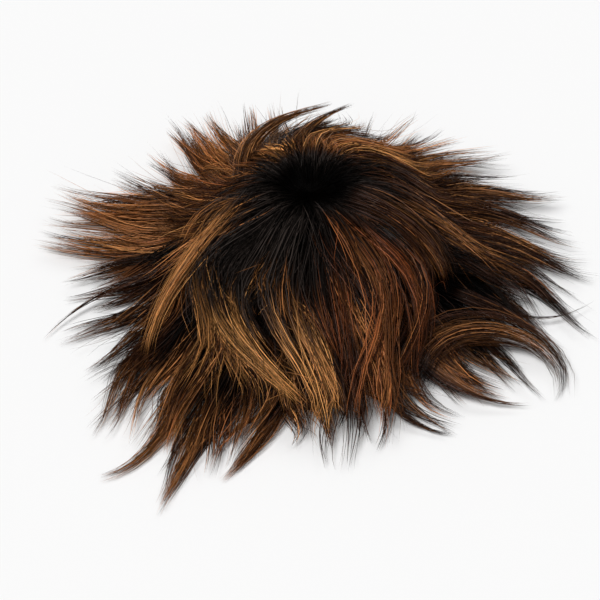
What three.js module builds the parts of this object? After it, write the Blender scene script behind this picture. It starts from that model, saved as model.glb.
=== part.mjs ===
// A hair patch for the top of the head: a thin oval net base, shaped like a shallow cap, with two
// tiers of hair locks that spread from a whorl near its back. It lies on a flat surface, on its rim.
// Millimetres, +Z up, +Y towards the back of the patch.

import * as THREE from "three";

// The net base is a cap of 8 by 10 inches of cloth, measured over its curve.
const base = { halfWidth: 81, halfLength: 110, height: 52, wall: 1.2 };
const baseSteps = { round: 40, rise: 7 };

// The whorl that all the hair turns out from lies on the centre line, this far behind the middle.
const whorlBack = 50;

// Where the hair leaves the cap and where it would land, as shares of the base's oval.
const drape = { leave: 0.72, land: 1.75, floorClearance: 1 };
const seatGap = 0.9; // between the cap and the hair on it
const tierGap = { depth: 2, from: 0.42, to: 0.58 }; // between the under tier and the crown tier

// The under tier is a skin where it starts, part of the way down the cap, and thickens to the rim.
const underSkin = { depth: 0.8, from: 0.42, to: 0.55 };
const underBulk = { depth: 8, from: 0.5, to: 0.85 };
const underTier = { steps: 8, start: 0.55, taperFrom: 0.6, sweepFrom: 0.5, thinFrom: 0.5, tipThinning: 0.75 };

// The crown tier starts beside the whorl, swells and thins out to its tips.
const crownTier = { steps: 12, start: 6, taperFrom: 0.65 };
// Where a crown lock turns from its root's direction to its tip's: shares of the way from the whorl to
// the rim, which counts as no longer than mostRim.
const crownSweep = { from: 0.8, to: 1.5, mostRim: 115 };
const crownDepth = { root: 3, swellLead: 0.8, tip: 1.5 };

const edgeDepth = 0.6; // thickness of a lock along its two sides
const tipHalfWidth = 1.2; // half the width that a lock keeps at its very tip
const taperEnd = 1.15; // past the tip, so that a lock still narrows where it ends
const sideGap = 0.45; // left free along each side of a lock, or half of the room beside the whorl
const settle = { from: 1.25, leastRun: 0.1 }; // shares of the oval where a lock goes to its own tip height
const lockSteps = { across: 4, crowding: 1.4 }; // sections crowd towards the root

const finishes = {
  net: { color: 0x1b1411, roughness: 0.8 },
  crown: { color: 0x3a2212, roughness: 0.45 },
  under: { color: 0x4a2d17, roughness: 0.5 },
};

// Angles are in degrees about the whorl, anticlockwise from above, with 0 to the right of the patch.
// root and tip: a lock's direction on the cap and at its end. half: half the angle that it fills, and
// tipHalf: that half where a crown lock ends its sweep to the front or the back.
// An under lock ends at reach, the plan distance from the whorl, and rise above the surface. A crown
// lock ends where it meets the given share of the base's oval, and swell is the most that it thickens.
const underLocks = [
  { name: "right_lock_1", root: 3, tip: 351.5, half: 5.5, reach: 190, rise: 9 },
  { name: "right_lock_2", root: 16, tip: 0, half: 6, reach: 170, rise: 12 },
  { name: "right_lock_3", root: 31, tip: 14, half: 6.5, reach: 150, rise: 17 },
  { name: "back_lock_1", root: 48, tip: 31, half: 7, reach: 121, rise: 18 },
  { name: "back_lock_2", root: 66, tip: 50, half: 8.5, reach: 105, rise: 18 },
  { name: "back_lock_3", root: 84, tip: 70, half: 9, reach: 94, rise: 32 },
  { name: "back_lock_4", root: 102, tip: 96, half: 9, reach: 90, rise: 16 },
  { name: "back_lock_5", root: 120, tip: 121, half: 9, reach: 121, rise: 17 },
  { name: "left_lock_1", root: 136, tip: 135, half: 7, reach: 127, rise: 16 },
  { name: "left_lock_2", root: 150, tip: 149, half: 7, reach: 136, rise: 15 },
  { name: "left_lock_3", root: 163, tip: 164, half: 6, reach: 143, rise: 14 },
  { name: "left_lock_4", root: 175, tip: 175, half: 6, reach: 172, rise: 12 },
  { name: "left_lock_5", root: 187, tip: 182, half: 6, reach: 189, rise: 10 },
  { name: "left_lock_6", root: 199, tip: 193, half: 6, reach: 201, rise: 6 },
  { name: "left_lock_7", root: 211, tip: 210, half: 6, reach: 216, rise: 2 },
  { name: "front_lock_1", root: 223, tip: 227, half: 6, reach: 234, rise: 2 },
  { name: "front_lock_2", root: 234, tip: 236, half: 5, reach: 270, rise: 2 },
  { name: "front_lock_3", root: 245, tip: 248, half: 6, reach: 272, rise: 2 },
  { name: "front_lock_4", root: 256, tip: 256, half: 5, reach: 238, rise: 2 },
  { name: "front_lock_5", root: 267, tip: 267, half: 6, reach: 205, rise: 2 },
  { name: "front_lock_6", root: 279, tip: 278, half: 6, reach: 216, rise: 2 },
  { name: "front_lock_7", root: 291, tip: 303, half: 6, reach: 217, rise: 2 },
  { name: "front_lock_8", root: 303, tip: 315, half: 6, reach: 197, rise: 3 },
  { name: "right_lock_4", root: 315, tip: 324, half: 5.5, reach: 220, rise: 4 },
  { name: "right_lock_5", root: 327, tip: 331, half: 6, reach: 205, rise: 4 },
  { name: "right_lock_6", root: 339, tip: 338, half: 6, reach: 200, rise: 6 },
  { name: "right_lock_7", root: 351, tip: 345, half: 6, reach: 193, rise: 8 },
];
const crownLocks = [
  { name: "crown_lock_1", root: 352.5, half: 12.5, tip: 344.5, tipHalf: 5.5, share: 1.75, swell: 14 },
  { name: "crown_lock_2", root: 17.5, half: 12.5, tip: 356.5, tipHalf: 6.5, share: 1.7, swell: 12 },
  { name: "crown_lock_3", root: 42.5, half: 12.5, tip: 12.5, tipHalf: 9.5, share: 1.5, swell: 10 },
  { name: "crown_lock_4", root: 67.5, half: 12.5, tip: 36, tipHalf: 14, share: 1.3, swell: 10 },
  { name: "crown_lock_5", root: 93, half: 13, tip: 67, tipHalf: 17, share: 1.22, swell: 12 },
  { name: "crown_lock_6", root: 119, half: 13, tip: 100.5, tipHalf: 16.5, share: 1.22, swell: 12 },
  { name: "crown_lock_7", root: 144.5, half: 12.5, tip: 132, tipHalf: 15, share: 1.25, swell: 10 },
  { name: "crown_lock_8", root: 169.5, half: 12.5, tip: 158, tipHalf: 11, share: 1.3, swell: 10 },
  { name: "crown_lock_9", root: 192.5, half: 10.5, tip: 179.5, tipHalf: 10.5, share: 1.35, swell: 10 },
  { name: "crown_lock_10", root: 207, half: 4, tip: 226, tipHalf: 10, share: 1.25, swell: 10 },
  { name: "crown_lock_11", root: 216.5, half: 5.5, tip: 246.5, tipHalf: 10.5, share: 1.34, swell: 10 },
  { name: "crown_lock_12", root: 234, half: 12, tip: 263, tipHalf: 6, share: 1.18, swell: 10 },
  { name: "crown_lock_13", root: 258, half: 12, tip: 273.25, tipHalf: 4.25, share: 1.22, swell: 12 },
  { name: "crown_lock_14", root: 281, half: 11, tip: 282, tipHalf: 4.5, share: 1.24, swell: 14 },
  { name: "crown_lock_15", root: 302, half: 10, tip: 293.75, tipHalf: 7.25, share: 1.26, swell: 16 },
  { name: "crown_lock_16", root: 328, half: 12, tip: 332.5, tipHalf: 6.5, share: 1.65, swell: 14 },
];

const radians = THREE.MathUtils.degToRad;
const ease = (value, from, to) => THREE.MathUtils.smoothstep(value, from, to);

// The share of the base's oval at a plan point: 0 in its middle, 1 on its rim.
function ovalShare(x, y) {
  return Math.hypot(x / base.halfWidth, y / base.halfLength);
}

// Radius of the arc that the cap follows across its width.
const capRadius = (base.halfWidth ** 2 + base.height ** 2) / (2 * base.height);

function capHeight(share) {
  return Math.sqrt(capRadius ** 2 - (share * base.halfWidth) ** 2) - (capRadius - base.height);
}

function capSlope(share) {
  return (-share * base.halfWidth ** 2) / Math.sqrt(capRadius ** 2 - (share * base.halfWidth) ** 2);
}

// Underside of the hair: on the cap as far as drape.leave, then one smooth fall to the surface.
function drapeHeight(share) {
  if (share <= drape.leave) return capHeight(share) + seatGap;
  const span = drape.land - drape.leave;
  const t = Math.min((share - drape.leave) / span, 1);
  const stay = 2 * t ** 3 - 3 * t ** 2 + 1;
  const run = (t ** 3 - 2 * t ** 2 + t) * span * capSlope(drape.leave);
  return stay * (capHeight(drape.leave) + seatGap) + run + (1 - stay) * drape.floorClearance;
}

// Room that the under tier takes above the drape, which the crown tier leaves free.
function underRoom(share) {
  const skin = underSkin.depth * ease(share, underSkin.from, underSkin.to);
  return skin + underBulk.depth * ease(share, underBulk.from, underBulk.to);
}

// Plan distance from the whorl to the oval of the given share, along a direction in degrees.
function whorlToOval(degrees, share) {
  const turn = radians(degrees);
  const along = new THREE.Vector2(Math.cos(turn) / base.halfWidth, Math.sin(turn) / base.halfLength);
  const start = whorlBack / base.halfLength;
  const a = along.lengthSq();
  const b = along.y * start;
  return (Math.sqrt(b ** 2 - a * (start ** 2 - share ** 2)) - b) / a;
}

// How far the tip lies from the root by the shorter way round.
function turnOf(lock) {
  return radians(THREE.MathUtils.euclideanModulo(lock.tip - lock.root + 180, 360) - 180);
}

// The direction of a lock's course at a distance from the whorl, with across from -1 to 1 over its width.
function courseAngle(lock, radius, across) {
  const root = lock.root + lock.half * across;
  const [from, to] = lock.sweep(root);
  const widening = (lock.tipHalf - lock.half) * across;
  return radians(root) + (turnOf(lock) + radians(widening)) * ease(radius, from, to);
}

// A plan point of a lock, with along from 0 at its root to 1 at its tip and across from -1 to 1.
function planPoint(lock, along, across) {
  const radius = THREE.MathUtils.lerp(lock.start, lock.reach, along ** lockSteps.crowding);
  const middle = courseAngle(lock, radius, 0);
  const edge = courseAngle(lock, radius, Math.sign(across));
  const free = radius * Math.abs(edge - middle);
  const fullHalf = free - Math.min(sideGap, free / 2);
  const narrowing = 1 - ease(along, lock.taperFrom, taperEnd) / ease(1, lock.taperFrom, taperEnd);
  const half = Math.max(fullHalf * narrowing, Math.min(tipHalfWidth, fullHalf));
  const angle = middle + (half * across) / radius;
  return [radius * Math.cos(angle), whorlBack + radius * Math.sin(angle)];
}

// An under lock's underside and thickness: past the rim it leaves the common fall for its own tip height.
function underLayer(lock, along, share) {
  const tipShare = ovalShare(...planPoint(lock, 1, 0));
  const settled = ease(share, settle.from, Math.max(tipShare, settle.from + settle.leastRun));
  const bottom = THREE.MathUtils.lerp(drapeHeight(share), lock.rise, settled);
  return [bottom, underRoom(share) * (1 - underTier.tipThinning * ease(along, underTier.thinFrom, 1))];
}

// A crown lock's underside and thickness: it keeps to the common fall, above the under tier.
function crownLayer(lock, along, share) {
  const gap = tierGap.depth * ease(share, tierGap.from, tierGap.to);
  const bottom = drapeHeight(share) + underRoom(share) + gap;
  const swell = lock.swell * Math.sin(Math.PI * along ** crownDepth.swellLead);
  return [bottom, THREE.MathUtils.lerp(crownDepth.root, crownDepth.tip, along) + swell];
}

// A lock is a block bent to its course: flat below, rounded above, and drawn out to a tip.
function lockGeometry(lock, layer) {
  const block = new THREE.BoxGeometry(2, 1, 1, lockSteps.across, 1, lock.steps);
  block.translate(0, 0.5, 0.5);
  const place = block.getAttribute("position");
  for (let i = 0; i < place.count; i++) {
    const [across, level, along] = [place.getX(i), place.getY(i), place.getZ(i)];
    const [x, y] = planPoint(lock, along, across);
    const [bottom, depth] = layer(lock, along, ovalShare(x, y));
    const rounded = edgeDepth + Math.max(depth - edgeDepth, 0) * (1 - across ** 2);
    place.setXYZ(i, x, y, bottom + level * rounded);
  }
  block.computeVertexNormals();
  return block;
}

// The cap's wall, turned from its outer and inner arcs and then drawn out to the oval.
function netBaseGeometry() {
  const arc = (halfWidth, height) => {
    const radius = (halfWidth ** 2 + height ** 2) / (2 * height);
    const opening = Math.asin(halfWidth / radius);
    return Array.from({ length: baseSteps.rise + 1 }, (_, i) => {
      const angle = (opening * i) / baseSteps.rise;
      return new THREE.Vector2(radius * Math.sin(angle), radius * Math.cos(angle) - (radius - height));
    });
  };
  const outer = arc(base.halfWidth, base.height);
  const inner = arc(base.halfWidth - base.wall, base.height - base.wall);
  const profile = [...inner, ...outer.reverse()];
  const wall = new THREE.LatheGeometry(profile, baseSteps.round);
  wall.rotateX(Math.PI / 2);
  wall.scale(1, base.halfLength / base.halfWidth, 1);
  return wall;
}

function addPiece(group, name, geometry, finish) {
  const mesh = new THREE.Mesh(geometry, new THREE.MeshStandardMaterial({ ...finish, metalness: 0 }));
  mesh.name = name;
  group.add(mesh);
}

const hairPatch = new THREE.Group();
addPiece(hairPatch, "net_base", netBaseGeometry(), finishes.net);
for (const row of underLocks) {
  const start = whorlToOval(row.root, underTier.start);
  const sweepFrom = THREE.MathUtils.lerp(start, row.reach, underTier.sweepFrom);
  const lock = { ...underTier, ...row, start, tipHalf: row.half, sweep: () => [sweepFrom, row.reach] };
  addPiece(hairPatch, lock.name, lockGeometry(lock, underLayer), finishes.under);
}
for (const row of crownLocks) {
  const sweep = (root) => {
    const rim = Math.min(whorlToOval(root, 1), crownSweep.mostRim);
    return [crownSweep.from * rim, crownSweep.to * rim];
  };
  const lock = { ...crownTier, ...row, sweep, reach: whorlToOval(row.tip, row.share) };
  addPiece(hairPatch, lock.name, lockGeometry(lock, crownLayer), finishes.crown);
}

// The origin lies under the middle of the whole patch, on the surface that it rests on.
const middle = new THREE.Box3().setFromObject(hairPatch).getCenter(new THREE.Vector3());
hairPatch.position.set(-middle.x, -middle.y, 0);

export default hairPatch;
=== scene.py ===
import math

import bmesh
import bpy
import numpy as np
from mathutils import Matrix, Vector


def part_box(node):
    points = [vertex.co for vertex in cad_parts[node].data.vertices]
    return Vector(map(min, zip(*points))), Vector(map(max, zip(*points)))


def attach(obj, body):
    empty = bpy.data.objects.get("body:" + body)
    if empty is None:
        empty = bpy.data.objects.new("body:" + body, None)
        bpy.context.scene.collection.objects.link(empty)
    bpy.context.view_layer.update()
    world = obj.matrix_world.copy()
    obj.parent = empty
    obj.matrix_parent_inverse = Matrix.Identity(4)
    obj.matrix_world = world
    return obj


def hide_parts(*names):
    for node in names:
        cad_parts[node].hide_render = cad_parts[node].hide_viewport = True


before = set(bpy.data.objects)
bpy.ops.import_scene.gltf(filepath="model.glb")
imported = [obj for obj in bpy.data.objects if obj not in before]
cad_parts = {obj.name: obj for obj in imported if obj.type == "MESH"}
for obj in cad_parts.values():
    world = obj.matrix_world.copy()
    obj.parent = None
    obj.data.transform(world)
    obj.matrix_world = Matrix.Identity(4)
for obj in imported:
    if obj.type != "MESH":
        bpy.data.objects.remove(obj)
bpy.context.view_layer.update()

print("frame loaded", len(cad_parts), "nodes")


# the cap that the hair is tied to, an oval dome: its middle and outer sizes from the frame, in metres,
# its wall, and how far behind the middle the whorl lies
capLow, capHigh = (Vector(corner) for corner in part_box("net_base"))
capMiddle = (capLow + capHigh) / 2
cap = {
    "halfWidth": capHigh.x - capMiddle.x, "halfLength": capHigh.y - capMiddle.y, "height": capHigh.z,
    "wall": 0.0012, "whorlBack": 0.050,
}
capRadius = (cap["halfWidth"] ** 2 + cap["height"] ** 2) / (2 * cap["height"])


def ease(value, start, end):
    t = np.clip((value - start) / (end - start), 0, 1)
    return t * t * (3 - 2 * t)


def ovalShare(x, y):  # 0 in the middle of the cap, 1 on its rim
    return np.hypot(x / cap["halfWidth"], y / cap["halfLength"])


def capHeight(share):
    run = np.minimum(share, 1.0) * cap["halfWidth"]
    return np.sqrt(capRadius ** 2 - run ** 2) - (capRadius - cap["height"])


# the common fall of the hair: on the cap, then one smooth curve to the table
drape = {"leave": 0.72, "land": 1.75, "seat": 0.0009, "table": 0.0010}


def drapeHeight(share):
    leave = drape["leave"]
    span = drape["land"] - leave
    run = leave * cap["halfWidth"]
    top = capHeight(leave) + drape["seat"]
    slope = -run * cap["halfWidth"] / math.sqrt(capRadius ** 2 - run ** 2)
    t = np.clip((share - leave) / span, 0, 1)
    stay = 2 * t ** 3 - 3 * t ** 2 + 1
    fall = stay * top + (t ** 3 - 2 * t ** 2 + t) * span * slope + (1 - stay) * drape["table"]
    return np.where(share <= leave, capHeight(share) + drape["seat"], fall)


def whorlToOval(degrees, share):  # plan distance from the whorl to the oval of that share
    turn = np.radians(degrees)
    ax, ay = np.cos(turn) / cap["halfWidth"], np.sin(turn) / cap["halfLength"]
    start = cap["whorlBack"] / cap["halfLength"]
    a, b = ax * ax + ay * ay, ay * start
    return (np.sqrt(b * b - a * (start * start - share * share)) - b) / a


# the two tiers of hair: lengths in metres, shares of the cap's oval or of a strand's length, and pairs for
# where something begins and ends
underTier = {
    "slot": "under_hair", "seed": 100,
    "start": 0.55, "sweepFrom": 0.5, "tipHalf": 0.66,
    "skin": 0.0008, "skinOver": (0.42, 0.55), "bulk": 0.008, "bulkOver": (0.5, 0.85), "dome": 0.6,
    "settleFrom": 1.25, "settleLeast": 0.1, "sinkOver": (0.75, 1.05), "thinFrom": 0.5, "tipThinning": 0.75,
    "rootShare": 0.97, "rootCrowding": 0.9, "skirtOver": (0.70, 0.98),
    "plainHalf": 6.5, "plainLength": 0.22, "rootHair": 0.4, "leastHair": 0.95,
    "clumps": 11, "strands": 29, "clumpHalf": 0.0036, "clumpTight": 0.21, "gatherFrom": 0.5,
    "shortClump": 0.20, "shortStrand": 0.24, "wave": 0.0048, "bend": 0.007, "frizz": 0.0007,
    "stray": 0.0016, "loose": 0.07, "lift": 0.003, "width": 0.00053, "fadeOwn": 1.0, "fadeSpread": 0.05,
}
crownTier = {
    "slot": "crown_hair", "seed": 300,
    "start": 0.0008, "sweepFrom": 0.8, "sweepTo": 1.5, "mostRim": 0.115, "overhang": 1.16,
    "gap": 0.002, "gapOver": (0.42, 0.58), "rootDepth": 0.002, "tipDepth": 0.0015, "swellLead": 0.8,
    "dome": 0.08, "rootShare": 0.80, "rootCrowding": 1.15,
    "plainHalf": 20, "plainLength": 0.24, "rootHair": 0.45,
    "clumps": 17, "strands": 30, "clumpHalf": 0.0048, "clumpTight": 0.36, "gatherFrom": 0.46,
    "shortClump": 0.50, "shortStrand": 0.28, "wave": 0.0066, "bend": 0.008, "frizz": 0.0011,
    "stray": 0.0028, "loose": 0.10, "lift": 0.003, "width": 0.00051, "fadeOwn": 0.15, "fadeSpread": 0.09,
    "fadeRun": 0.34,
}

# how a lock parts into tufts: their places across it, shares of its hair and lengths, how close each one
# gathers at its tip and from where, where the dark root fades, how far the lock sinks below the others, and
# how light its roots are painted, from black painted shade to the root colour with its painted sheen
lockForms = {
    "tuft": {"places": (-0.45, 0.40), "shares": (0.5, 0.5), "ends": (0.95, 1.04),
             "tight": 0.55, "leanFrom": 0.50, "fade": (0.42, 0.96), "sink": 0.0, "sheen": 1.0},
    "lobe": {"places": (-0.8, -0.4, 0.0, 0.4, 0.8), "shares": (0.2, 0.2, 0.2, 0.2, 0.2),
             "ends": (0.96, 1.05, 0.98, 1.06, 0.97), "tight": 0.60, "leanFrom": 0.50, "fade": (0.12, 0.65),
             "sink": 0.0, "sheen": 1.0},
    "front": {"places": (-0.5, 0.1, 0.6), "shares": (0.35, 0.35, 0.3), "ends": (0.90, 1.04, 0.97),
              "tight": 0.45, "leanFrom": 0.45, "fade": (0.0, 0.45), "sink": 0.0, "sheen": 1.0},
    # the shade form: hair beside the cave whose root stays dark longer and whose roots are dimmer, painted
    # shade
    "shade": {"places": (-0.6, 0.0, 0.6), "shares": (0.3, 0.4, 0.3), "ends": (0.97, 1.04, 1.0),
              "tight": 0.55, "leanFrom": 0.50, "fade": (0.35, 0.75), "sink": 0.0, "sheen": 0.4},
    # the cave locks under the right lobe stay dark for most of their length and their roots go black:
    # painted shade
    "cave": {"places": (-0.5, 0.5), "shares": (0.5, 0.5), "ends": (0.92, 1.02),
             "tight": 0.40, "leanFrom": 0.40, "fade": (0.62, 0.95), "sink": 0.45, "sheen": 0.1},
    "crown": {"places": (-0.8, -0.3, 0.3, 0.8), "shares": (0.25, 0.25, 0.25, 0.25),
              "ends": (0.96, 1.0, 1.0, 0.96), "tight": 0.70, "leanFrom": 0.3, "sheen": 1.0},
}

# direction at root and tip in degrees about the whorl, half angle, reach and end height in mm, all close to
# the CAD; gold from 0 dark to 1 golden, red from 0 olive to 1 chestnut, sideways flick at the tip in mm,
# and the form that the lock has
underColumns = ("name", "root", "tip", "half", "reach", "rise", "gold", "red", "flick", "form")
underRows = [
    ("right_lock_1", 3, 351, 6, 190, 9, 0.28, 0.5, 0, "lobe"),
    ("right_lock_2", 16, 5, 6.5, 168, 13, 0.33, 0.5, 0, "lobe"),
    ("right_lock_3", 31, 18, 6.5, 150, 18, 0.50, 0.3, 0, "lobe"),
    ("back_lock_1", 48, 36, 7, 130, 19, 0.60, 0.4, -6, "lobe"),
    ("back_lock_2", 66, 50, 8.5, 107, 17, 0.50, 0.4, -6, "lobe"),
    ("back_lock_3", 84, 70, 9, 94, 32, 0.45, 0.4, -16, "tuft"),
    ("back_lock_4", 102, 96, 9, 90, 16, 0.45, 0.5, -8, "tuft"),
    ("back_lock_5", 120, 121, 9, 113, 17, 0.62, 0.6, -10, "lobe"),
    ("left_lock_1", 136, 136.5, 9, 135, 16, 0.72, 0.6, -10, "lobe"),
    ("left_lock_2", 150, 150.5, 8, 134, 15, 0.76, 0.6, -14, "lobe"),
    ("left_lock_3", 163, 167, 6, 136, 14, 0.80, 0.6, -12, "lobe"),
    ("left_lock_4", 175, 179, 7, 180, 12, 0.92, 0.6, -16, "lobe"),
    ("left_lock_5", 187, 185.5, 7, 198, 10, 0.92, 0.5, -16, "lobe"),
    ("left_lock_6", 199, 197, 6, 196, 6, 0.35, 0.6, 0, "tuft"),
    ("left_lock_7", 211, 206.5, 6, 190, 2, 0.25, 0.6, 8, "tuft"),
    ("front_lock_1", 223, 226, 6, 220, 2, 0.15, 0.7, 0, "tuft"),
    ("front_lock_2", 234, 239, 7, 250, 2, 0.70, 0.6, -8, "tuft"),
    ("front_lock_3", 245, 249, 7.5, 252, 2, 0.80, 0.60, -14, "tuft"),
    ("front_lock_4", 256, 259, 7, 250, 2, 0.62, 0.8, -14, "tuft"),
    ("front_lock_5", 267, 266, 7, 178, 2, 0.60, 0.3, 0, "lobe"),
    ("front_lock_6", 279, 277.5, 7, 216, 2, 0.22, 0.7, 0, "lobe"),
    ("front_lock_7", 291, 296, 7, 208, 2, 0.40, 0.6, 8, "front"),
    ("front_lock_8", 306, 308.5, 8.5, 214, 3, 0.42, 0.6, 10, "front"),
    # these three locks lie in the cave and are painted dark: painted shade
    ("right_lock_4", 315, 316, 5.5, 220, 4, 0.18, 0.5, -6, "cave"),
    ("right_lock_5", 327, 325.5, 6, 220, 4, 0.18, 0.5, 0, "cave"),
    ("right_lock_6", 339, 332, 6.5, 224, 6, 0.16, 0.4, 0, "cave"),
    ("right_lock_7", 351, 343, 6, 206, 8, 0.26, 0.4, 0, "shade"),
]

# the same for the crown, whose locks end at a share of the cap's oval; bow of both sides in degrees halfway
# along, swell in mm above the under tier, and the share of the lock that stays dark
crownColumns = ("name", "root", "half", "tip", "tipHalf", "share", "gold", "red", "bow", "swell", "dark")
crownRows = [
    ("crown_lock_1", 352.5, 12.5, 341, 6, 1.85, 0.24, 0.6, (5, 0), 14, 0.24),
    ("crown_lock_2", 17.5, 12.5, 356, 8.5, 1.70, 0.26, 0.6, (0, 0), 12, 0.26),
    ("crown_lock_3", 42.5, 12.5, 15, 10, 1.50, 0.40, 0.55, (0, 0), 11, 0.18),
    ("crown_lock_4", 67.5, 12.5, 36, 14, 1.38, 0.40, 0.6, (0, 0), 13, 0.14),
    ("crown_lock_5", 93, 13, 67, 17, 1.26, 0.48, 0.5, (0, 0), 14, 0.10),
    ("crown_lock_6", 119, 13, 100.5, 16.5, 1.22, 0.65, 0.3, (0, 0), 12, 0.08),
    ("crown_lock_7", 144.5, 12.5, 132, 15, 1.25, 0.55, 0.5, (0, 0), 10, 0.12),
    ("crown_lock_8", 169.5, 12.5, 158, 11, 1.30, 0.50, 0.6, (0, 0), 10, 0.30),
    ("crown_lock_9", 192.5, 10.5, 179.5, 10.5, 1.35, 0.40, 0.5, (0, 0), 10, 0.50),
    ("crown_lock_10", 207, 4, 226, 10, 1.25, 0.95, 0.4, (0, 0), 10, 0.22),
    ("crown_lock_11", 216.5, 5.5, 246.5, 10.5, 1.34, 0.72, 0.3, (0, 0), 10, 0.42),
    ("crown_lock_12", 234, 12, 263, 6, 1.05, 0.95, 0.1, (0, 0), 10, 0.54),
    ("crown_lock_13", 258, 12, 273.25, 4.25, 1.16, 0.88, 0.35, (0, 0), 12, 0.40),
    ("crown_lock_14", 281, 11, 282, 4.5, 1.24, 0.62, 0.80, (0, 4), 14, 0.26),
    ("crown_lock_15", 302, 11.5, 286, 5.5, 1.26, 0.36, 0.92, (3, 6), 17, 0.13),
    # crown_lock_16 stays dark for most of its length and has little gold: painted shade over the cave
    ("crown_lock_16", 328, 13, 334, 5.5, 1.82, 0.04, 0.7, (18, 5), 13, 0.64),
]


def turnOf(lock):  # from root to tip the shorter way round, in degrees
    return (lock["tip"] - lock["root"] + 180) % 360 - 180


def hairAmount(tier, half, length):  # beside a plain lock of the tier
    return half / tier["plainHalf"] * (tier["rootHair"] + length / tier["plainLength"])


def underLock(row):
    lock = dict(zip(underColumns, row))
    for key in ("reach", "rise", "flick"):
        lock[key] /= 1000  # mm to metres
    start = float(whorlToOval(lock["root"], underTier["start"]))
    lock.update(start=start, tipHalf=lock["half"] * underTier["tipHalf"], bow=(0, 0))
    lock.update(lockForms[lock["form"]])
    lock["hair"] = max(hairAmount(underTier, lock["half"], lock["reach"] - start), underTier["leastHair"])
    return lock


def crownLock(row):
    lock = dict(zip(crownColumns, row))
    lock["swell"] /= 1000
    reach = float(whorlToOval(lock["tip"], lock["share"])) * crownTier["overhang"]
    lock.update(start=crownTier["start"], reach=reach, flick=0.0)
    lock.update(lockForms["crown"])
    lock["fade"] = (lock["dark"], lock["dark"] + crownTier["fadeRun"])
    lock["hair"] = hairAmount(crownTier, lock["half"] + lock["tipHalf"], reach)
    return lock


def underSweep(lock, rootDegrees):
    return lock["start"] + (lock["reach"] - lock["start"]) * underTier["sweepFrom"], lock["reach"]


def crownSweep(lock, rootDegrees):
    rim = np.minimum(whorlToOval(rootDegrees, 1.0), crownTier["mostRim"])
    return crownTier["sweepFrom"] * rim, crownTier["sweepTo"] * rim


def underRoom(share):  # how thick the under tier lies
    skin = underTier["skin"] * ease(share, *underTier["skinOver"])
    return skin + underTier["bulk"] * ease(share, *underTier["bulkOver"])


def underHeights(lock, share, v, rootedAt):
    turn = math.radians(lock["tip"])
    tipX, tipY = lock["reach"] * math.cos(turn), cap["whorlBack"] + lock["reach"] * math.sin(turn)
    settleTo = max(float(ovalShare(tipX, tipY)), underTier["settleFrom"] + underTier["settleLeast"])
    settled = ease(share, underTier["settleFrom"], settleTo)
    skirt = ease(rootedAt, *underTier["skirtOver"])  # hair tied near the rim ends on the table
    rise = lock["rise"] * (1 - skirt) + drape["table"] * skirt
    bottom = drapeHeight(share) * (1 - settled) + rise * settled
    bottom = bottom * (1 - lock["sink"] * ease(share, *underTier["sinkOver"]))
    return bottom, underRoom(share) * (1 - underTier["tipThinning"] * ease(v, underTier["thinFrom"], 1))


def crownHeights(lock, share, v, rootedAt):
    bottom = drapeHeight(share) + underRoom(share) + crownTier["gap"] * ease(share, *crownTier["gapOver"])
    depth = crownTier["rootDepth"] + (crownTier["tipDepth"] - crownTier["rootDepth"]) * v
    return bottom, depth + lock["swell"] * np.sin(np.pi * np.clip(v, 0, 1) ** crownTier["swellLead"])


lanes = {"count": 16, "crowding": 1.5, "noise": 0.12}  # neighbours in a clump that share a shade


def laneShades(mine, across, clumps, rng):
    lane = np.minimum((across + 1) / 2 * lanes["count"], lanes["count"] - 1).astype(int)
    shades = rng.random((clumps, lanes["count"])) ** lanes["crowding"]
    return np.clip(shades[mine, lane] + rng.normal(0, lanes["noise"], len(mine)), 0, 1)


# tufts, the parts of a lock that end together, and how much they differ
tufting = {"place": 0.08, "reach": 0.04, "tone": 0.08, "warmth": 0.10}


def partTufts(lock, rng):
    count = len(lock["places"])
    return {
        "across": np.array(lock["places"]) + rng.normal(0, tufting["place"], count),
        "reach": np.array(lock["ends"]) + rng.normal(0, tufting["reach"], count),
        "phase": rng.uniform(0, 2 * math.pi, count),
        "tone": rng.normal(0, tufting["tone"], count),
        "warmth": rng.normal(0, tufting["warmth"], count),
    }


# clumps of strands that are tied together: the steps that spread their roots evenly over the lock and a
# little past its sides, and how much they differ
clumping = {
    "least": 6, "stepOut": 0.7549, "stepAcross": 0.5698, "overlap": 1.12, "leastLength": 0.040,
    "shortPower": 1.5, "tuft": 0.12, "levelDrop": 0.75, "level": 0.16, "turns": (0.45, 1.05),
    "tone": 0.22, "lowTone": 0.2, "warmth": 0.16,
}


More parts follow.
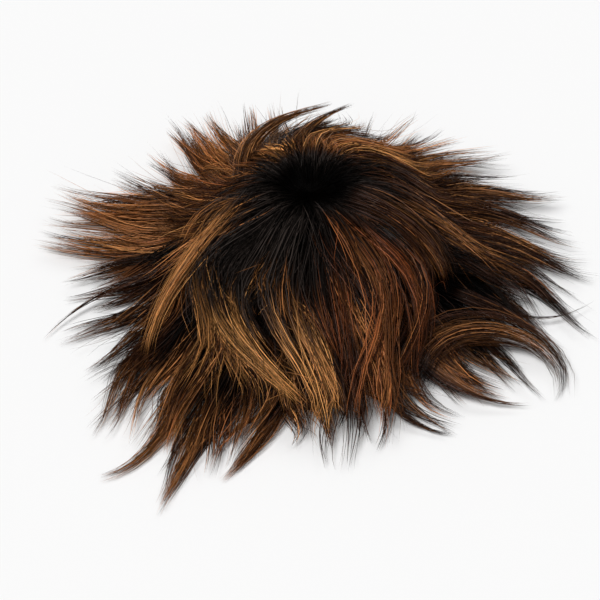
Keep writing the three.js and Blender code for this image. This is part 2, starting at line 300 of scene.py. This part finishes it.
def tieClumps(lock, tier, tufts, rng):
    count = max(int(tier["clumps"] * lock["hair"]), clumping["least"])
    number = np.arange(count)
    rootMost = float(whorlToOval(lock["root"], tier["rootShare"]))
    outward = ((rng.random() + clumping["stepOut"] * number) % 1) ** tier["rootCrowding"]
    rootR = lock["start"] + (rootMost - lock["start"]) * outward
    spread = (rng.random() + clumping["stepAcross"] * number) % 1
    across = (spread * 2 - 1) * clumping["overlap"]
    bounds = np.cumsum(lock["shares"])[:-1] * 2 - 1
    tuft = np.searchsorted(bounds, across + rng.normal(0, clumping["tuft"], count))
    cut = 1 - tier["shortClump"] * rng.random(count) ** clumping["shortPower"]
    reach = np.maximum(lock["reach"] * tufts["reach"][tuft] * cut, rootR + clumping["leastLength"])
    level = 1 - clumping["levelDrop"] * outward + rng.normal(0, clumping["level"], count)
    level = np.clip(level, 0, 1)
    clumps = {
        "rootR": rootR, "rootedAt": rootR / rootMost * tier["rootShare"], "across": across, "tuft": tuft,
        "reach": reach, "level": level,
        "phase": rng.uniform(0, 2 * math.pi, count),
        "turns": rng.uniform(*clumping["turns"], count),
        "bend": rng.normal(0, tier["bend"], count) + lock["flick"],
        "lift": np.abs(rng.normal(0, tier["lift"], count)),
        "fade": rng.normal(0, tier["fadeSpread"], count),
        "tone": lock["gold"] + tufts["tone"][tuft] + rng.normal(0, clumping["tone"], count),
        "warmth": lock["red"] + tufts["warmth"][tuft] + rng.normal(0, clumping["warmth"], count),
    }
    # clumps lying lower in the lock are painted darker: painted shade
    clumps["tone"] -= clumping["lowTone"] * (1 - level)
    return clumps


# single strands: their form, their place in the clump, how they rise from the cap, and how much they differ
strand = {
    "rings": 9, "flat": 0.64, "roll": 0.5, "rootWidth": 0.75, "fullFrom": 0.2, "tipWidth": 0.25,
    "thinOver": (0.6, 1.05), "leastRoot": 0.0004, "leastLength": 0.030, "shortPower": 1.4, "pastClump": 1.1,
    "mostAside": 2, "clumpFlat": 0.5, "spreadBy": 0.3, "rootSeat": 0.0003, "climb": 0.026,
    "overTable": 0.0007,
    "root": 0.005, "turns": (0.5, 1.2), "tone": 0.25, "topTone": 0.10, "warmth": 0.10, "widths": (0.55, 1.6),
    "fade": 0.5,
}
# waves and bends that grow towards the tip, and the few strands that stand off on their own
waving = {"tuftTurns": 0.8, "tuft": 0.7, "clump": 0.8, "growth": 0.7, "bendGrowth": 2.4}
looseStrand = {"frizz": 3.5, "stray": 0.012, "lift": 0.009, "liftGrowth": 1.5, "width": 0.6}
# hair in the whorl's pit is painted black: painted shade over its dark roots
pit = {"from": 0.014, "to": 0.046, "share": 0.16}  # the whorl's black pit, and its part of the fade


def waveAlong(along, turns, phase):
    return np.sin(2 * math.pi * turns * along + phase) - np.sin(phase)


def growStrands(lock, tier, sweep, heights, rng):
    tufts = partTufts(lock, rng)
    clumps = tieClumps(lock, tier, tufts, rng)
    clumpCount = len(clumps["rootR"])
    mine = np.repeat(np.arange(clumpCount), tier["strands"])  # the clump of each strand
    clump = {key: value[mine][:, None] for key, value in clumps.items()}
    tuft = {key: value[clumps["tuft"][mine]][:, None] for key, value in tufts.items()}
    column = (len(mine), 1)

    # u runs along the strand, w along its clump, v along the lock, r out from the whorl
    u = np.linspace(0, 1, strand["rings"] + 1)[None, :]
    rootR = np.maximum(clump["rootR"] + rng.normal(0, strand["root"], column), strand["leastRoot"])
    cut = 1 - tier["shortStrand"] * rng.random(column) ** strand["shortPower"]
    tipR = np.maximum(clump["reach"] * cut, rootR + strand["leastLength"])
    r = rootR + (tipR - rootR) * u
    v = (r - lock["start"]) / (lock["reach"] - lock["start"])
    w = np.clip((r - clump["rootR"]) / (clump["reach"] - clump["rootR"]), 0, strand["pastClump"])
    loose = rng.random(column) < tier["loose"]

    # plan course: the lock's own, leaning to the tuft's middle
    lean = ease(w, lock["leanFrom"], 1.0)
    drawnIn = tuft["across"] + (clump["across"] - tuft["across"]) * lock["tight"]
    across = clump["across"] * (1 - lean) + drawnIn * lean
    inside = np.clip(across, -1, 1)
    sweepFrom, sweepTo = sweep(lock, lock["root"] + lock["half"] * clump["across"])
    widening = (lock["tipHalf"] - lock["half"]) * across
    swept = (turnOf(lock) + widening) * ease(r, sweepFrom, sweepTo)
    bow = lock["bow"][0] + (lock["bow"][1] - lock["bow"][0]) * (inside + 1) / 2
    bowed = bow * np.sin(np.pi * np.clip(v, 0, 1))
    direction = np.radians(lock["root"] + lock["half"] * across + swept + bowed)

    # sideways: waves of the tuft and the clump, then each strand's own place in the clump and its frizz
    tuftWave = waveAlong(w, waving["tuftTurns"], tuft["phase"])
    clumpWave = waveAlong(w, clump["turns"], clump["phase"])
    gather = 1 - (1 - tier["clumpTight"]) * ease(u, tier["gatherFrom"], 1.0)
    place = np.clip(rng.normal(0, 1, (2, *column)), -strand["mostAside"], strand["mostAside"])
    shade = laneShades(mine, place[0].ravel() / strand["mostAside"], clumpCount, rng)
    ownPhase = rng.uniform(0, 2 * math.pi, (2, *column))
    ownTurns = rng.uniform(*strand["turns"], column)
    ownWave = waveAlong(u, ownTurns, ownPhase) * np.sqrt(u)
    frizz = tier["frizz"] * np.where(loose, looseStrand["frizz"], 1.0)
    stray = rng.normal(0, 1, column) * np.where(loose, looseStrand["stray"], tier["stray"])
    side = tier["wave"] * (waving["tuft"] * tuftWave + waving["clump"] * clumpWave) * w ** waving["growth"]
    side = side + clump["bend"] * w ** waving["bendGrowth"]
    side = side + tier["clumpHalf"] * place[0] * gather + frizz * ownWave[0] + stray * u ** 2
    x = r * np.cos(direction) - side * np.sin(direction)
    y = cap["whorlBack"] + r * np.sin(direction) + side * np.cos(direction)

    # height: up from the cap to the clump's own level in the lock
    share = ovalShare(x, y)
    bottom, depth = heights(lock, share, v, clump["rootedAt"])
    z = bottom + depth * clump["level"] * (1 - tier["dome"] * inside ** 2) + clump["lift"] * w ** 2
    ownRise = tier["clumpHalf"] * place[1] * gather * ease(u, 0, strand["spreadBy"]) + frizz * ownWave[1]
    looseRise = np.where(loose, rng.random(column) * looseStrand["lift"], 0.0)
    z = z + strand["clumpFlat"] * ownRise + looseRise * u ** looseStrand["liftGrowth"]
    rooted = capHeight(share) + strand["rootSeat"]
    climb = ease(r - rootR, 0.0, strand["climb"])
    z = np.maximum(rooted * (1 - climb) + z * climb, strand["overTable"])

    # colour: what each strand carries, and how its dark root fades outside the pit
    # strands higher in their clump are painted lighter and lower ones darker: painted light and shade
    tone = clump["tone"] + strand["topTone"] * place[1] + rng.normal(0, strand["tone"], column)
    warmth = clump["warmth"] + rng.normal(0, strand["warmth"], column)
    width = tier["width"] * rng.uniform(*strand["widths"], column)
    grown = tier["fadeOwn"] * u + (1 - tier["fadeOwn"]) * v
    grown = grown + clump["fade"] + rng.normal(0, strand["fade"] * tier["fadeSpread"], column)
    # near the whorl the fade falls to the black of the pit: painted shade
    clearOfPit = ease(r, pit["from"], pit["to"])
    grown = ease(grown, *lock["fade"]) * clearOfPit
    # at the roots the fade starts from a floor set per form: low in the cave as painted shade, full
    # elsewhere for the root colour with its painted sheen
    return {
        "points": np.stack([x + capMiddle.x, y + capMiddle.y, z], axis=2),
        "width": (width * np.where(loose, looseStrand["width"], 1.0)).ravel(),
        "fade": pit["share"] * lock["sheen"] * clearOfPit + (1 - pit["share"]) * grown,
        "tone": np.clip(tone, 0, 1).ravel(),
        "warmth": np.clip(warmth, 0, 1).ravel(),
        "shade": shade,
    }


def crossways(points):  # unit vectors along the strands, and level ones across them
    along = np.gradient(points, axis=1)
    along /= np.linalg.norm(along, axis=2, keepdims=True)
    level = np.cross(along, np.array([0.0, 0.0, 1.0]))
    level /= np.maximum(np.linalg.norm(level, axis=2, keepdims=True), 1e-9)
    return along, level


# single tufts that stand out: the lock they belong to, strands, half width in mm, how close they gather,
# gold and red as above, and the line they follow in mm from the middle of the cap
accentColumns = ("lock", "strands", "half", "tight", "gold", "red", "line")
accentRows = [
    ("crown_lock_10", 70, 10.0, 0.55, 0.95, 0.3,
     ((-44, 38, 56), (-73, 2, 45), (-98, -28, 29), (-110, -58, 17), (-114, -76, 11))),
    ("crown_lock_12", 70, 11.0, 0.45, 1.00, 0.0,
     ((-62, -40, 43), (-52, -71, 39), (-34, -96, 33), (-14, -112, 26), (-1, -124, 17))),
    ("crown_lock_16", 170, 15.0, 0.85, 0.46, 0.6,
     ((24, 33, 57), (52, 19, 57), (77, 4, 46), (91, -15, 36), (94, -27, 29))),
    # the next two tufts lie in the cave and are kept dark: painted shade
    ("right_lock_5", 34, 6.0, 0.4, 0.12, 0.6,
     ((96, -20, 20), (146, -45, 13), (164, -57, 8), (174, -78, 4), (166, -106, 3))),
    ("right_lock_6", 8, 2.0, 0.3, 0.20, 0.6,
     ((110, -16, 18), (158, -36, 10), (182, -30, 8), (199, -18, 8))),
    ("right_lock_4", 40, 5.0, 0.3, 0.35, 0.6,
     ((74, -40, 24), (112, -58, 12), (136, -58, 8), (158, -64, 4))),
    ("front_lock_8", 50, 4.0, 0.2, 0.40, 0.6,
     ((60, -66, 22), (98, -97, 12), (126, -108, 7), (152, -108, 4))),
    ("front_lock_7", 60, 4.0, 0.2, 0.35, 0.6,
     ((46, -90, 16), (72, -125, 5), (98, -134, 3))),
    ("back_lock_4", 100, 8.0, 0.3, 0.68, 0.5,
     ((-44, 58, 30), (-40, 97, 46), (-17, 121, 43), (1, 136, 37), (18, 146, 32))),
    ("back_lock_3", 70, 5.5, 0.3, 0.55, 0.5,
     ((-18, 66, 34), (-7, 98, 47), (8, 121, 43), (21, 135, 37), (32, 146, 32))),
    ("left_lock_6", 20, 2.4, 0.3, 0.10, 0.5,
     ((-100, -2, 22), (-149, -18, 10), (-170, -33, 6), (-187, -55, 3))),
    ("right_lock_4", 90, 15.0, 0.5, 0.45, 0.5,
     ((70, -92, 18), (91, -67, 24), (112, -54, 22), (137, -53, 16), (161, -64, 10), (174, -84, 6),
      (172, -104, 4))),
    ("front_lock_3", 80, 7.0, 0.4, 0.80, 0.5,
     ((-62, -100, 12), (-80, -143, 4), (-91, -170, 3), (-101, -194, 2))),
    ("front_lock_4", 80, 8.0, 0.4, 0.60, 0.8,
     ((-18, -107, 10), (-32, -134, 4), (-46, -156, 3), (-60, -174, 2))),
    ("front_lock_2", 80, 7.0, 0.5, 0.80, 0.6,
     ((-78, -84, 10), (-110, -148, 4), (-127, -164, 3), (-144, -170, 2))),
]
accentTuft = {
    "short": 0.35, "gatherFrom": 0.15, "flat": 0.6, "frizz": 0.0008, "turns": 1.3, "width": 0.00044,
    "widths": (0.65, 1.3), "tone": 0.24, "warmth": 0.14, "fade": (-0.15, 0.45),
}


def accentStrands(accent, rng):
    count = accent["strands"]
    column = (count, 1)
    line = np.array(accent["line"]) / 1000
    steps = np.concatenate([[0], np.cumsum(np.linalg.norm(np.diff(line, axis=0), axis=1))])
    steps /= steps[-1]
    course = [np.polyfit(steps, line[:, k], min(3, len(line) - 1)) for k in range(3)]  # cubic at most
    u = np.linspace(0, 1, strand["rings"] + 1)[None, :]
    w = u * (1 - accentTuft["short"] * rng.random(column) ** strand["shortPower"])
    points = np.stack([np.polyval(fit, w) for fit in course], axis=2)
    level = crossways(points)[1]
    gather = 1 - (1 - accent["tight"]) * ease(u, accentTuft["gatherFrom"], 1.0)
    half = accent["half"] / 1000
    place = np.clip(rng.normal(0, half / 2, (2, *column)), -half, half)
    phase = rng.uniform(0, 2 * math.pi, (2, *column))
    frizz = accentTuft["frizz"] * waveAlong(u, accentTuft["turns"], phase)
    points = points + level * (place[0] * gather + frizz[0])[:, :, None]
    z = points[:, :, 2] + accentTuft["flat"] * place[1] * gather + strand["clumpFlat"] * frizz[1]
    points[:, :, 2] = np.maximum(z, strand["overTable"])
    points[:, :, :2] += np.array([capMiddle.x, capMiddle.y])
    tone = accent["gold"] + rng.normal(0, accentTuft["tone"], count)
    warmth = accent["red"] + rng.normal(0, accentTuft["warmth"], count)
    return {
        "points": points,
        "width": accentTuft["width"] * rng.uniform(*accentTuft["widths"], count),
        "fade": np.broadcast_to(ease(u, *accentTuft["fade"]), w.shape),
        "tone": np.clip(tone, 0, 1),
        "warmth": np.clip(warmth, 0, 1),
        "shade": laneShades(np.zeros(count, dtype=int), place[0].ravel() / half, 1, rng),
    }


# each lock's strands, hundreds of them, are one mesh made from arrays. A strand has its own cell of the map:
# three side strips, drawn in to a tip, and the root's face below them
mapCell = {
    "left": 0.04, "step": 0.31, "wide": 0.28, "low": 0.10, "rise": 0.846, "tip": 0.95,
    "root": [(0.1, 0.02), (0.9, 0.02), (0.5, 0.08)],
}


def strandVerts(hair, rng):  # three corners on a flattened ring, drawn in to a point at the tip
    points, rings = hair["points"], strand["rings"]
    count = len(points)
    along, level = crossways(points)
    upward = np.cross(level, along)
    run = np.linspace(0, 1, rings + 1)
    taper = strand["rootWidth"] + (1 - strand["rootWidth"]) * ease(run, 0, strand["fullFrom"])
    taper = taper * (1 - (1 - strand["tipWidth"]) * ease(run, *strand["thinOver"]))
    radius = hair["width"][:, None] / 2 * taper
    roll = rng.uniform(-strand["roll"], strand["roll"], (count, 1))
    corners = []
    for k in range(3):
        angle = 2 * math.pi * k / 3 + math.pi / 2 + roll
        wide = (np.cos(angle) * radius)[:, :, None]
        high = (np.sin(angle) * radius * strand["flat"])[:, :, None]
        corners.append(points + level * wide + upward * high)
    ringVerts = np.stack(corners, axis=2)[:, :rings].reshape(count, rings * 3, 3)
    return np.concatenate([ringVerts, points[:, rings:]], axis=1)


def strandFaces():  # of one strand: side quads, then three at the tip and one over the root, with map places
    rings = strand["rings"]
    quads, quadPlaces, tips, tipPlaces = [], [], [], []
    for i in range(rings):
        low, high = (mapCell["low"] + mapCell["rise"] * ring / rings for ring in (i, i + 1))
        for k in range(3):
            a, b = i * 3 + k, i * 3 + (k + 1) % 3
            left = mapCell["left"] + mapCell["step"] * k
            right = left + mapCell["wide"]
            if i < rings - 1:
                quads.append((a, b, b + 3, a + 3))
                quadPlaces += [(left, low), (right, low), (right, high), (left, high)]
            else:
                tips.append((a, b, rings * 3))
                tipPlaces += [(left, low), (right, low), ((left + right) / 2, mapCell["tip"])]
    tips.append((2, 1, 0))
    return quads, tips, np.array(quadPlaces + tipPlaces + mapCell["root"])


def strandMesh(name, hair, rng):
    verts = strandVerts(hair, rng)
    count, perStrand = verts.shape[:2]
    quads, tips, places = strandFaces()
    offsets = (np.arange(count) * perStrand)[:, None, None]
    quadLoops = (np.array(quads)[None] + offsets).reshape(count, -1)
    tipLoops = (np.array(tips)[None] + offsets).reshape(count, -1)
    loops = np.concatenate([quadLoops, tipLoops], axis=1).ravel()
    sizes = np.tile([4] * len(quads) + [3] * len(tips), count)
    starts = np.concatenate([[0], np.cumsum(sizes)[:-1]])

    mesh = bpy.data.meshes.new(name)
    mesh.vertices.add(count * perStrand)
    mesh.vertices.foreach_set("co", verts.astype(np.float32).ravel())
    mesh.loops.add(len(loops))
    mesh.loops.foreach_set("vertex_index", loops.astype(np.int32))
    mesh.polygons.add(len(sizes))
    mesh.polygons.foreach_set("loop_start", starts.astype(np.int32))
    mesh.update(calc_edges=True)
    mesh.polygons.foreach_set("use_smooth", np.ones(len(sizes), dtype=bool))

    # a cell of the map for each strand
    columns = math.ceil(math.sqrt(count))
    number = np.arange(count)
    cell = np.stack([number % columns, number // columns], axis=1)
    uv = (cell[:, None, :] + places[None]) / columns
    layer = mesh.uv_layers.new(name="OFBake")
    layer.uv.foreach_set("vector", uv.astype(np.float32).ravel())

    # what the material reads, at every corner
    rings = strand["rings"]
    ringFade = np.repeat(hair["fade"][:, :rings], 3, axis=1)
    values = {"fade": np.concatenate([ringFade, hair["fade"][:, rings:]], axis=1).ravel()}
    for label in ("tone", "warmth", "shade"):
        values[label] = np.repeat(hair[label], perStrand)
    for label, value in values.items():
        attribute = mesh.attributes.new(label, "FLOAT", "POINT")
        attribute.data.foreach_set("value", value.astype(np.float32))
    mesh.validate()
    return mesh


# materials
def newGroup(name, inputs, outputs):
    group = bpy.data.node_groups.new(name, "ShaderNodeTree")
    for label, kind in inputs:
        group.interface.new_socket(label, in_out="INPUT", socket_type=kind)
    for label, kind in outputs:
        group.interface.new_socket(label, in_out="OUTPUT", socket_type=kind)
    return group, group.nodes.new("NodeGroupInput"), group.nodes.new("NodeGroupOutput")


def mapRange(tree, value, low, high, toLow=0.0, toHigh=1.0):
    node = tree.nodes.new("ShaderNodeMapRange")
    node.interpolation_type = "SMOOTHSTEP"
    tree.links.new(value, node.inputs["Value"])
    node.inputs["From Min"].default_value = low
    node.inputs["From Max"].default_value = high
    node.inputs["To Min"].default_value = toLow
    node.inputs["To Max"].default_value = toHigh
    return node.outputs["Result"]


def combine(tree, operation, a, b):
    node = tree.nodes.new("ShaderNodeMath")
    node.operation = operation
    tree.links.new(a, node.inputs[0])
    tree.links.new(b, node.inputs[1])
    return node.outputs[0]


def blendColour(tree, factor, first, second):
    node = tree.nodes.new("ShaderNodeMix")
    node.data_type = "RGBA"
    tree.links.new(factor, node.inputs["Factor"])
    for socket, colour in ((node.inputs["A"], first), (node.inputs["B"], second)):
        if isinstance(colour, tuple):
            socket.default_value = (*colour, 1)
        else:
            tree.links.new(colour, socket)
    return node.outputs["Result"]


def scaleColour(tree, colour, factor):
    node = tree.nodes.new("ShaderNodeVectorMath")
    node.operation = "SCALE"
    tree.links.new(colour, node.inputs[0])
    tree.links.new(factor, node.inputs["Scale"])
    return node.outputs["Vector"]


def addBump(tree, height, strength, distance):
    bump = tree.nodes.new("ShaderNodeBump")
    bump.inputs["Strength"].default_value = strength
    bump.inputs["Distance"].default_value = distance
    tree.links.new(height, bump.inputs["Height"])
    tree.links.new(bump.outputs["Normal"], tree.nodes["Principled BSDF"].inputs["Normal"])


# the finish of the hair: ranges of what the strands carry, and of what they turn into
hairFinish = {
    "mottle": (0.4, 1.0, 0.15, 1.2), "brownBy": 0.6, "streakFade": (0.28, 1.0), "streakTone": (0.34, 1.0),
    "shade": (0.0, 1.0, 0.3, 1.9), "glossFade": (0.0, 0.4, 0.02, 0.68), "glossShade": (0.2, 0.9, 0.2, 1.0),
    "grain": 900, "grainDetail": 2, "roughness": (0.3, 0.7, 0.27, 0.42), "bump": 0.15, "bumpDepth": 0.0001,
    "coatRoughness": 0.34, "specular": 0.02,
}
# the first colour is black painted shade for the pit and the cave; the second is the dark root colour,
# greyed in the crown as painted sheen
hairColours = {
    "crown_hair": {
        "Pit": (0.0012, 0.0008, 0.0006), "Root": (0.032, 0.0240, 0.0205), "Brown": (0.040, 0.0120, 0.0040),
        "Gold": (0.83, 0.392, 0.120), "Chestnut": (0.34, 0.088, 0.023)},
    "under_hair": {
        "Pit": (0.0012, 0.0008, 0.0006), "Root": (0.008, 0.0045, 0.0030), "Brown": (0.040, 0.0120, 0.0040),
        "Gold": (0.76, 0.350, 0.115), "Chestnut": (0.400, 0.132, 0.040)},
}


def makeHairGroup():
    colour = "NodeSocketColor"
    number = "NodeSocketFloat"
    group, given, put = newGroup(
        "hairColouring",
        [("Pit", colour), ("Root", colour), ("Brown", colour), ("Gold", colour), ("Chestnut", colour)],
        [("Color", colour), ("Roughness", number), ("Gloss", number), ("Height", number)],
    )
    reads = {}
    for label in ("fade", "tone", "warmth", "shade"):
        node = group.nodes.new("ShaderNodeAttribute")
        node.attribute_name = label
        reads[label] = node.outputs["Fac"]

    def ranged(label, key):
        return mapRange(group, reads[label], *hairFinish[key])

    # from the black pit, painted shade, to the dark root with its painted sheen, the brown length and the
    # light streaks
    clear = mapRange(group, reads["fade"], 0.0, pit["share"])
    mottled = combine(group, "MULTIPLY", clear, ranged("tone", "mottle"))
    dark = blendColour(group, mottled, given.outputs["Pit"], given.outputs["Root"])
    length = mapRange(group, reads["fade"], pit["share"], hairFinish["brownBy"])
    brown = blendColour(group, length, dark, given.outputs["Brown"])
    light = blendColour(group, reads["warmth"], given.outputs["Gold"], given.outputs["Chestnut"])
    streak = combine(group, "MULTIPLY", ranged("fade", "streakFade"), ranged("tone", "streakTone"))
    full = scaleColour(group, blendColour(group, streak, brown, light), ranged("shade", "shade"))
    gloss = combine(group, "MULTIPLY", ranged("fade", "glossFade"), ranged("shade", "glossShade"))

    coords = group.nodes.new("ShaderNodeTexCoord")
    grain = group.nodes.new("ShaderNodeTexNoise")
    grain.inputs["Scale"].default_value = hairFinish["grain"]
    grain.inputs["Detail"].default_value = hairFinish["grainDetail"]
    group.links.new(coords.outputs["Object"], grain.inputs["Vector"])
    roughness = mapRange(group, grain.outputs["Fac"], *hairFinish["roughness"])
    group.links.new(full, put.inputs["Color"])
    group.links.new(roughness, put.inputs["Roughness"])
    group.links.new(gloss, put.inputs["Gloss"])
    group.links.new(grain.outputs["Fac"], put.inputs["Height"])
    return group


def makeHairMaterial(name, group, colours):
    material = bpy.data.materials.new(name)
    material.use_nodes = True
    tree = material.node_tree
    shader = tree.nodes["Principled BSDF"]
    use = tree.nodes.new("ShaderNodeGroup")
    use.node_tree = group
    for label, colour in colours.items():
        use.inputs[label].default_value = (*colour, 1)
    tree.links.new(use.outputs["Color"], shader.inputs["Base Color"])
    tree.links.new(use.outputs["Roughness"], shader.inputs["Roughness"])
    tree.links.new(use.outputs["Gloss"], shader.inputs["Coat Weight"])
    addBump(tree, use.outputs["Height"], hairFinish["bump"], hairFinish["bumpDepth"])
    shader.inputs["Coat Roughness"].default_value = hairFinish["coatRoughness"]
    shader.inputs["Specular IOR Level"].default_value = hairFinish["specular"]
    return material


hairGroup = makeHairGroup()
hairMaterials = {
    "crown_hair": makeHairMaterial("crownHair", hairGroup, hairColours["crown_hair"]),
    "under_hair": makeHairMaterial("underHair", hairGroup, hairColours["under_hair"]),
}
print("hair coloured")


def addPiece(name, mesh, node, material):
    mesh.materials.append(material)
    piece = bpy.data.objects.new(name, mesh)
    bpy.context.scene.collection.objects.link(piece)
    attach(piece, "root")
    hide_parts(node)
    return piece


def addLock(lock, tier, sweep, heights, seed):
    rng = np.random.default_rng(seed)
    parts = [growStrands(lock, tier, sweep, heights, rng)]
    for row in accentRows:
        accent = dict(zip(accentColumns, row))
        if accent["lock"] == lock["name"]:
            parts.append(accentStrands(accent, rng))
    hair = {key: np.concatenate([part[key] for part in parts]) for key in parts[0]}
    mesh = strandMesh(lock["name"] + "_hair", hair, rng)
    addPiece(lock["name"] + "_hair", mesh, lock["name"], hairMaterials[tier["slot"]])
    return sum(len(face.vertices) - 2 for face in mesh.polygons)


def growTier(rows, makeLock, tier, sweep, heights):
    triangles = 0
    for i, row in enumerate(rows):
        triangles += addLock(makeLock(row), tier, sweep, heights, tier["seed"] + i)
    print(tier["slot"], "grown,", len(rows), "locks,", triangles, "triangles")


growTier(underRows, underLock, underTier, underSweep, underHeights)
growTier(crownRows, crownLock, crownTier, crownSweep, crownHeights)


# the net base, spun from its profile and drawn out to the oval. A wave texture repeats about 3.2 times in
# a unit
netBase = {
    "around": 96, "rise": 14, "merge": 1e-5, "flat": (0.203, 0.254),
    "pitch": 0.0011, "wavesInUnit": 3.2, "waver": 0.4,
    "gapColour": (0.003, 0.002, 0.0015), "threadColour": (0.018, 0.012, 0.009),
    "gapRoughness": 0.9, "threadRoughness": 0.6, "bump": 0.5, "bumpDepth": 0.0003, "specular": 0.2,
}


def makeNetMaterial():
    material = bpy.data.materials.new("monofilamentNet")
    material.use_nodes = True
    tree = material.node_tree
    shader = tree.nodes["Principled BSDF"]
    coords = tree.nodes.new("ShaderNodeTexCoord")
    threads = []
    for direction in ("X", "Y"):
        wave = tree.nodes.new("ShaderNodeTexWave")
        wave.wave_type = "BANDS"
        wave.bands_direction = direction
        wave.inputs["Scale"].default_value = 1 / netBase["pitch"] / netBase["wavesInUnit"]
        wave.inputs["Distortion"].default_value = netBase["waver"]
        tree.links.new(coords.outputs["Object"], wave.inputs["Vector"])
        threads.append(wave.outputs["Fac"])
    weave = combine(tree, "MAXIMUM", *threads)
    colour = blendColour(tree, weave, netBase["gapColour"], netBase["threadColour"])
    roughness = mapRange(tree, weave, 0, 1, netBase["gapRoughness"], netBase["threadRoughness"])
    tree.links.new(colour, shader.inputs["Base Color"])
    tree.links.new(roughness, shader.inputs["Roughness"])
    addBump(tree, weave, netBase["bump"], netBase["bumpDepth"])
    shader.inputs["Specular IOR Level"].default_value = netBase["specular"]
    return material


def netProfile():  # inside from the top to the rim, then back up outside
    profile = []
    for inset, order in ((cap["wall"], 1), (0.0, -1)):
        halfWidth, height = cap["halfWidth"] - inset, cap["height"] - inset
        radius = (halfWidth ** 2 + height ** 2) / (2 * height)
        opening = math.asin(halfWidth / radius)
        arc = []
        for i in range(netBase["rise"] + 1):
            angle = opening * i / netBase["rise"]
            arc.append((radius * math.sin(angle), radius * math.cos(angle) - (radius - height)))
        profile += arc[::order]
    return profile


def roundTheCap(face):  # a place in order, because spin gives the faces in none
    middle = face.calc_center_median()
    return math.atan2(middle.y, middle.x) + middle.z


def makeNetBase():
    bm = bmesh.new()
    verts = [bm.verts.new((x, 0, z)) for x, z in netProfile()]
    for a, b in zip(verts, verts[1:]):
        bm.edges.new((a, b))
    bmesh.ops.spin(
        bm, geom=bm.verts[:] + bm.edges[:], cent=(0, 0, 0), axis=(0, 0, 1), dvec=(0, 0, 0),
        angle=2 * math.pi, steps=netBase["around"], use_merge=True, use_duplicate=False)
    bmesh.ops.remove_doubles(bm, verts=bm.verts[:], dist=netBase["merge"])
    bm.faces.sort(key=roundTheCap)
    bmesh.ops.scale(bm, vec=(1, cap["halfLength"] / cap["halfWidth"], 1), verts=bm.verts[:])
    bmesh.ops.translate(bm, vec=(capMiddle.x, capMiddle.y, 0), verts=bm.verts[:])
    bmesh.ops.recalc_face_normals(bm, faces=bm.faces[:])
    for face in bm.faces:
        face.smooth = True
    mesh = bpy.data.meshes.new("net_base_cloth")
    bm.to_mesh(mesh)
    bm.free()
    piece = addPiece("net_base_cloth", mesh, "net_base", makeNetMaterial())


makeNetBase()
print("net base made")


# floor, light and camera
studio = {
    "floorHalf": 6.0, "floorColour": (0.97, 0.97, 0.97), "floorRoughness": 0.8,
    "world": 0.20, "backdrop": 0.915, "softness": 0.42,
    "keyFrom": (-0.55, -0.45, 1.6), "keyPower": 2.35, "fillFrom": (0.8, 0.9, 1.2), "fillPower": 0.5,
}


def makeFloor():
    bm = bmesh.new()
    bmesh.ops.create_grid(bm, x_segments=2, y_segments=2, size=studio["floorHalf"])
    mesh = bpy.data.meshes.new("floor")
    bm.to_mesh(mesh)
    bm.free()
    material = bpy.data.materials.new("paleFloor")
    material.use_nodes = True
    shader = material.node_tree.nodes["Principled BSDF"]
    shader.inputs["Base Color"].default_value = (*studio["floorColour"], 1)
    shader.inputs["Roughness"].default_value = studio["floorRoughness"]
    mesh.materials.append(material)
    floor = bpy.data.objects.new("floor", mesh)
    bpy.context.scene.collection.objects.link(floor)


def addLight(name, comesFrom, power):
    lamp = bpy.data.lights.new(name, "SUN")
    lamp.angle = studio["softness"]
    lamp.energy = power
    light = bpy.data.objects.new(name, lamp)
    bpy.context.scene.collection.objects.link(light)
    light.location = comesFrom
    light.rotation_euler = (-Vector(comesFrom)).to_track_quat("-Z", "Y").to_euler()


def makeWorld():  # dimmer as a light than it looks behind the floor
    world = bpy.data.worlds.new("studio")
    world.use_nodes = True
    tree = world.node_tree
    rays = tree.nodes.new("ShaderNodeLightPath")
    strength = mapRange(tree, rays.outputs["Is Camera Ray"], 0, 1, studio["world"], studio["backdrop"])
    background = tree.nodes["Background"]
    background.inputs["Color"].default_value = (1, 1, 1, 1)
    tree.links.new(strength, background.inputs["Strength"])
    bpy.context.scene.world = world


# the photograph's view: its height above the floor in degrees, and the point in the middle of its frame
view = {
    "elevation": 50, "distance": 2.6, "frameWidth": 0.42, "look": (-0.0070, -0.0119, 0.0), "sensor": 36,
    "farthest": 50,
}


def makeCamera():
    lens = bpy.data.cameras.new("camera")
    lens.sensor_width = view["sensor"]
    lens.lens = view["sensor"] * view["distance"] / view["frameWidth"]
    lens.clip_end = view["farthest"]
    camera = bpy.data.objects.new("camera", lens)
    bpy.context.scene.collection.objects.link(camera)
    look = Vector(view["look"]) + Vector((capMiddle.x, capMiddle.y, 0))
    rise = math.radians(view["elevation"])
    away = Vector((0, -math.cos(rise), math.sin(rise)))
    camera.location = look + away * view["distance"]
    camera.rotation_euler = (-away).to_track_quat("-Z", "Y").to_euler()
    bpy.context.scene.camera = camera


makeFloor()
addLight("key", studio["keyFrom"], studio["keyPower"])
addLight("fill", studio["fillFrom"], studio["fillPower"])
makeWorld()
makeCamera()
bpy.context.scene.view_settings.view_transform = "Standard"
print("studio set")
